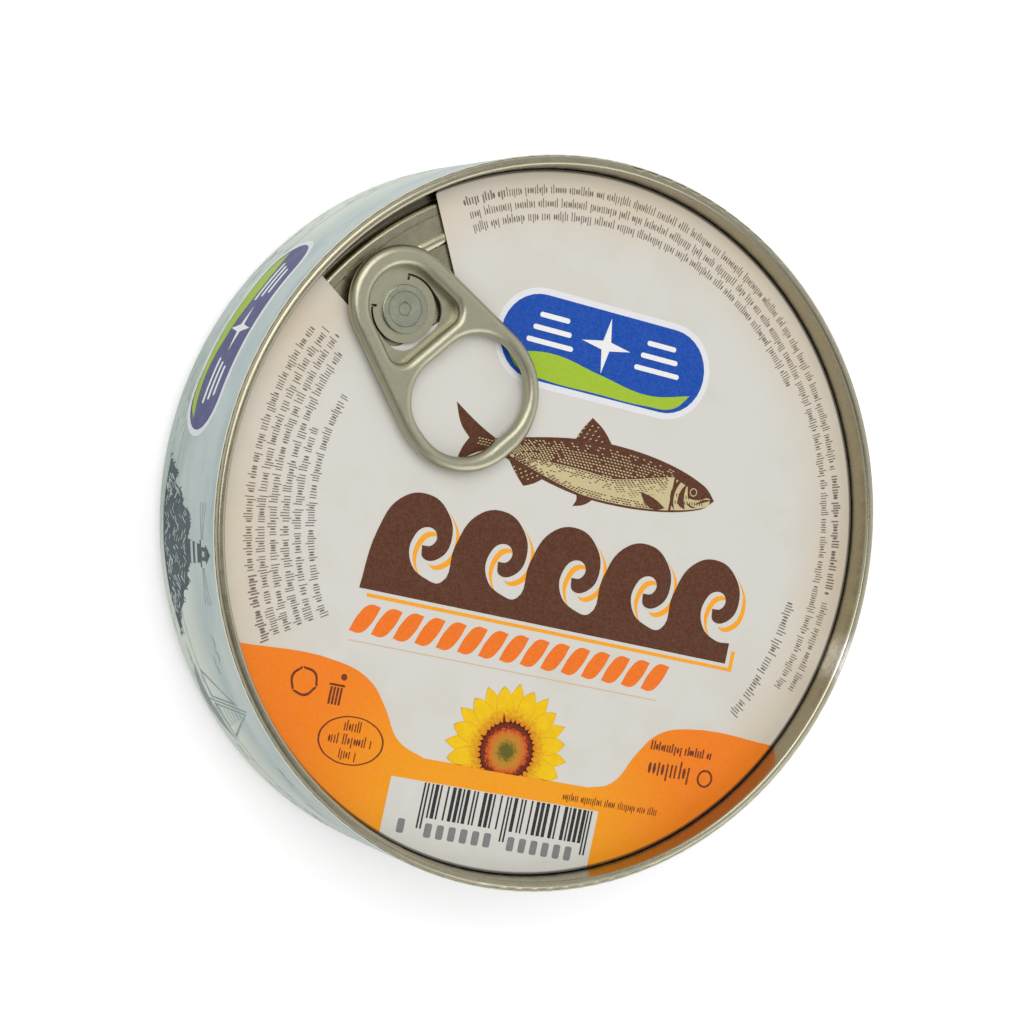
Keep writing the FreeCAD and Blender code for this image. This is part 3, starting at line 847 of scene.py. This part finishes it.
class FISHTIN_OT_small_print(TinOperator, Operator):
    """Prints the rows of fine strokes that stand where small print goes"""
    bl_idname = "fishtin.small_print"
    bl_label = "Small Print"

    def execute(self, context):
        draw = random.Random(11)
        strokes = bmesh.new()
        # Each row's radius, its angles, how much of it is bold, and its height if that isn't usual
        for radius, start, end, bold, *tall in (
                (45.3, 211.5, 155.8, 9.5), (43.55, 211, 154.4, 0), (41.9, 211.2, 154.2, 0),
                (40.1, 210.9, 156.3, 0), (38.4, 211, 171.8, 0), (36.5, 211.3, 163.2, 0),
                (46.6, 120.5, 21.5, 6.4), (46.8, 20.3, -1.5, 18), (46.8, -3, -20, 0),
                (44.7, 120, -21, 0), (42.9, 120, 39.6, 0), (41.0, -5, -31, 0, 1.15)):
            sense = math.copysign(1, end - start)

            def spot(along, lift):
                angle = math.radians(start) + sense * along / radius
                reach = radius + lift
                return reach * math.cos(angle), reach * math.sin(angle), angle - math.pi / 2

            words(strokes, draw, spot, radius * math.radians(abs(end - start)), bold, *tall)
        on_lid("small_print", strokes, 1, ink("small print ink", colours().small_print))
        return {"FINISHED"}


class FISHTIN_OT_marks(TinOperator, Operator):
    """Prints the oval, the two small signs and the stroke groups on the orange field"""
    bl_idname = "fishtin.marks"
    bl_label = "Marks on the Field"

    def execute(self, context):
        draw = random.Random(23)
        oval = -23.5
        marks = ring(oval, -34.8, 4.9, 0.24, 0.68)

        def row(start, y, run, tall, bold=0.0):
            words(marks, draw, lambda along, lift: (start + along, y + lift, 0.0), run, bold, tall)

        for y, half, tall in ((-33.0, 1.3, 1.1), (-34.9, 3.2, 1.1), (-36.8, 1.3, 1.0)):
            row(oval - half, y, 2 * half, tall)
        # Three bent strips round a place, and a small striped sign with a dot
        for k in range(3):
            strip = outline([(-0.5, 2.0, 0), (1.45, 1.45), (2.05, -0.4, 0), (1.75, -0.35, 0),
                             (1.2, 1.2), (-0.45, 1.7, 0)])
            merge(marks, moved(strip, -32.0, -28.0, k * math.tau / 3))
        for k in range(4):
            block(marks, -27.9 + 0.5 * k, -29.2, 0.3, 2.4)
        block(marks, -27.15, -27.7, 2.3, 0.3)
        dot(marks, -26.4, -26.5, 0.45, 16)
        row(22.8, -27.9, 10.4, 1.0, 11)
        row(23.2, -31.0, 7.4, 1.9)
        row(10.4, -37.3, 15.5, 0.85)
        merge(marks, ring(32.6, -31.2, 1.3, 0.3))
        on_lid("marks", marks, 5, ink("mark ink", colours().mark))
        return {"FINISHED"}


# The rocks: their jagged ridge and their foot
RIDGE = [(2.2, 5.8), (4.0, 9.2), (5.4, 8.9), (6.6, 12.2), (8.2, 12.9), (9.2, 15.6), (10.8, 16.4),
         (12.4, 15.3), (16.2, 15.6), (17.4, 13.8), (18.8, 14.5), (20.2, 11.4), (21.8, 10.6),
         (23.4, 8.0), (26.4, 6.0)]
ROCK_FOOT = [(21.0, 5.2), (14.0, 4.8), (7.0, 5.1)]


def ridge_top(x):
    """Height of the rocks' ridge at x, level past its ends."""
    for (x0, y0), (x1, y1) in zip(RIDGE, RIDGE[1:]):
        if x <= x1:
            return y0 + (y1 - y0) * (max(x, x0) - x0) / (x1 - x0)
    return RIDGE[-1][1]


class FISHTIN_OT_side_picture(TinOperator, Operator):
    """Prints the sea, the rocks with a light tower, the boats and the gulls on the band"""
    bl_idname = "fishtin.side_picture"
    bl_label = "Picture on the Band"

    def execute(self, context):
        draw = random.Random(5)
        water = bmesh.new()
        block(water, 0, 8.8, 2 * BAND_HALF_LENGTH - 0.2, 0.16)
        for _ in range(260):
            x = draw.uniform(-BAND_HALF_LENGTH + 3, BAND_HALF_LENGTH - 3)
            block(water, x, draw.uniform(3.9, 8.3), draw.uniform(0.8, 3.2), 0.12)
        on_band("sea_lines", water, 1, ink("faint ink", srgb("94A4A0")))

        def stamp(bm, shift, *loops):
            merge(bm, moved(outline(*loops), shift))

        # The picture is printed twice, on the shown side and on the far one.
        dark, light, thin = bmesh.new(), bmesh.new(), bmesh.new()
        for shift in (0.0, BAND_HALF_LENGTH):
            tower, mast = shift + 14.3, shift + 36.6
            stamp(dark, shift, sharp(RIDGE + ROCK_FOOT))
            stamp(dark, shift, sharp([(12.6, 15.0), (13.1, 20.2), (15.5, 20.2), (16.0, 15.0)]))
            block(dark, tower, 20.45, 3.6, 0.45)
            block(dark, tower, 21.6, 1.8, 1.5)
            stamp(dark, shift, sharp([(13.0, 22.5), (14.3, 24.2), (15.6, 22.5)]))
            for y, width in ((16.9, 3.0), (18.7, 2.7), (21.6, 0.7)):
                block(light, tower, y, width, 0.9)
            # Pale strokes across the rocks' faces, and tufts along their ridge
            for _ in range(150):
                x = draw.uniform(4.6, 23.4)
                lean = (0.95, -0.75)[int(x / 2.3) % 2] + draw.uniform(-0.2, 0.2)
                block(light, shift + x, draw.uniform(5.6, ridge_top(x) - 0.9), draw.uniform(0.5, 1.7),
                      draw.uniform(0.1, 0.2), lean)
            for _ in range(70):
                x = draw.uniform(1.6, 27.0)
                block(dark, shift + x, ridge_top(x) + draw.uniform(-0.2, 0.5), 0.14,
                      draw.uniform(0.5, 1.3), draw.uniform(-0.7, 0.7))
            # Beams from the lantern, three to each side
            for k in range(-1, 2):
                for side in (-1, 1):
                    ray = 0.16 * k
                    block(thin, tower + side * 4.4 * math.cos(ray), 21.2 + 4.4 * math.sin(ray), 5.0, 0.1,
                          side * ray)
            # A boat: its hull, its mast, two sails drawn in line, and the battens of the larger
            stamp(thin, shift, [(31.0, 7.2, 0), (33.2, 5.2), (40.2, 5.1), (43.6, 7.6, 0), (37.0, 6.6)])
            block(thin, mast, 14.2, 0.24, 15.0)
            for outer, inner in (
                    ([(37.1, 8.2), (37.1, 20.9), (43.0, 8.6)], [(37.35, 8.5), (37.35, 20.0), (42.5, 8.8)]),
                    ([(36.1, 8.4), (36.1, 18.6), (31.6, 8.8)], [(35.85, 8.7), (35.85, 17.6), (32.1, 9.0)])):
                stamp(thin, shift, sharp(outer), sharp(inner))
            for k in range(6):
                block(thin, shift + 39.2 - 0.25 * k, 9.6 + 1.6 * k, 3.2 - 0.5 * k, 0.1, 0.05)
            for x, y, size in ((27.6, 19.2, 1.0), (30.0, 17.2, 0.7), (48.5, 18.4, 0.9), (56.0, 15.6, 0.8)):
                for side in (-1, 1):
                    wing = outline([(0, 0, 0), (side * 0.9 * size, 0.75 * size),
                                    (side * 2.0 * size, 0.2 * size, 0), (side * 0.9 * size, 0.45 * size)])
                    merge(thin, moved(wing, shift + x + side * 0.02, y))
        on_band("rocks_and_tower", dark, 2, ink("drawing ink", colours().drawing))
        on_band("rock_lights", light, 3, ink("pale drawing ink", srgb("B9C4C0")))
        on_band("boats", thin, 2, ink("thin drawing ink", srgb("8A9A96")))
        return {"FINISHED"}


# The studio: the floor's own glow for the camera, the softboxes' side, and the camera's place and turn
CARD_GLOW = 0.26
SOFTBOX = 0.6
CAMERA_PLACE = (-0.1592, -0.0117, 0.3349)
CAMERA_TURN = (-3.852, -25.805, 13.332)


class FISHTIN_OT_studio(TinOperator, Operator):
    """Sets up the floor, the soft light, the room and the camera"""
    bl_idname = "fishtin.studio"
    bl_label = "Studio"

    def execute(self, context):
        scene = context.scene
        studio = scene.tin_studio
        scene.view_settings.view_transform = "Standard"

        bm = bmesh.new()
        bmesh.ops.create_grid(bm, x_segments=1, y_segments=1, size=4.0)
        mesh = bpy.data.meshes.new("floor")
        bm.to_mesh(mesh)
        bm.free()
        floor = bpy.data.objects.new("floor", mesh)
        scene.collection.objects.link(floor)
        # Matt white card, lit a little more for the camera alone, so that it shows white.
        made, tree = material("white card")
        card = add(tree, "BsdfDiffuse", {"Color": rgba(shade(srgb("FFFFFF"), 0.9))})
        seen = add(tree, "Math", {
            0: (add(tree, "LightPath"), "Is Camera Ray"), 1: CARD_GLOW}, operation="MULTIPLY")
        glow = add(tree, "Emission", {"Color": WHITE, "Strength": seen})
        add(tree, "OutputMaterial", {"Surface": add(tree, "AddShader", {0: card, 1: glow})})
        mesh.materials.append(made)

        world = bpy.data.worlds.new("pale room")
        world.use_nodes = True
        world.node_tree.nodes.clear()
        tree = world.node_tree
        path = add(tree, "LightPath")
        shown = add(tree, "Math", {
            0: (path, "Is Camera Ray"), 1: (path, "Is Transmission Ray")}, operation="MAXIMUM")
        plain = add(tree, "MapRange", {"Value": shown, "To Min": studio.room})
        # White walls, dimmer at two ends, and a dim patch overhead, to the left: the metal gets light
        # and dark to mirror.
        way = (add(tree, "TexCoord"), "Generated")
        patch_way = (-0.3, 0.0, 0.954)
        over = add(tree, "VectorMath", {0: way, 1: patch_way}, operation="DOT_PRODUCT")
        mirrored = add(tree, "MapRange", {"Value": over, "From Min": 0.42, "From Max": 0.93,
                                          "To Min": 1.0, "To Max": studio.ceiling}, **SOFT)
        ends = add(tree, "Math", {
            0: (add(tree, "SeparateXYZ", {"Vector": way}), "Y")}, operation="ABSOLUTE")
        ends = add(tree, "MapRange", {
            "Value": ends, "From Min": 0.25, "From Max": 0.8, "To Min": 1.0, "To Max": 0.62}, **SOFT)
        mirrored = add(tree, "Math", {0: mirrored, 1: ends}, operation="MULTIPLY")
        strength = add(tree, "MapRange", {
            "Value": (path, "Is Glossy Ray"), "To Min": plain, "To Max": mirrored})
        sky = add(tree, "Background", {"Color": WHITE, "Strength": strength})
        add(tree, "OutputWorld", {"Surface": sky})
        scene.world = world

        for name, place, power in (("key", (-0.22, 0.24, 0.66), studio.key_power),
                                   ("fill", (0.50, -0.42, 0.50), studio.fill_power)):
            lamp = bpy.data.lights.new(name, "AREA")
            lamp.size = SOFTBOX
            lamp.energy = power
            light = bpy.data.objects.new(name, lamp)
            light.location = place
            light.rotation_euler = light.location.to_track_quat("Z", "Y").to_euler()
            scene.collection.objects.link(light)

        lens = bpy.data.cameras.new("camera")
        lens.lens = studio.lens
        lens.sensor_width = 36
        lens.clip_start = 0.01
        camera = bpy.data.objects.new("camera", lens)
        camera.location = CAMERA_PLACE
        camera.rotation_euler = Euler([math.radians(a) for a in CAMERA_TURN], "XYZ")
        scene.collection.objects.link(camera)
        scene.camera = camera
        return {"FINISHED"}


class FISHTIN_PT_panel(Panel):
    bl_label = "Fish Tin"
    bl_idname = "FISHTIN_PT_panel"
    bl_space_type = "VIEW_3D"
    bl_region_type = "UI"
    bl_category = "Fish Tin"

    def draw(self, context):
        for group in (context.scene.tin_colours, context.scene.tin_print, context.scene.tin_studio):
            box = self.layout.box()
            for key in group.__annotations__:
                box.prop(group, key)
        for step in OPERATORS:
            self.layout.operator(step.bl_idname)


OPERATORS = (FISHTIN_OT_studio, FISHTIN_OT_metal, FISHTIN_OT_paper, FISHTIN_OT_orange_field,
             FISHTIN_OT_bars, FISHTIN_OT_sunflower, FISHTIN_OT_blue_panels, FISHTIN_OT_fish,
             FISHTIN_OT_scroll, FISHTIN_OT_small_print, FISHTIN_OT_marks, FISHTIN_OT_side_picture)
GROUPS = {"tin_colours": TinColours, "tin_print": TinPrint, "tin_studio": TinStudio}


def register():
    for made in (*GROUPS.values(), *OPERATORS, FISHTIN_PT_panel):
        bpy.utils.register_class(made)
    for key, group in GROUPS.items():
        setattr(bpy.types.Scene, key, PointerProperty(type=group))


def unregister():
    for key in GROUPS:
        delattr(bpy.types.Scene, key)
    for made in reversed((*GROUPS.values(), *OPERATORS, FISHTIN_PT_panel)):
        bpy.utils.unregister_class(made)


def main():
    register()
    for step in OPERATORS:
        getattr(bpy.ops.fishtin, step.bl_idname.partition(".")[2])()
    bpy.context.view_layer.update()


if __name__ == "__main__":
    main()
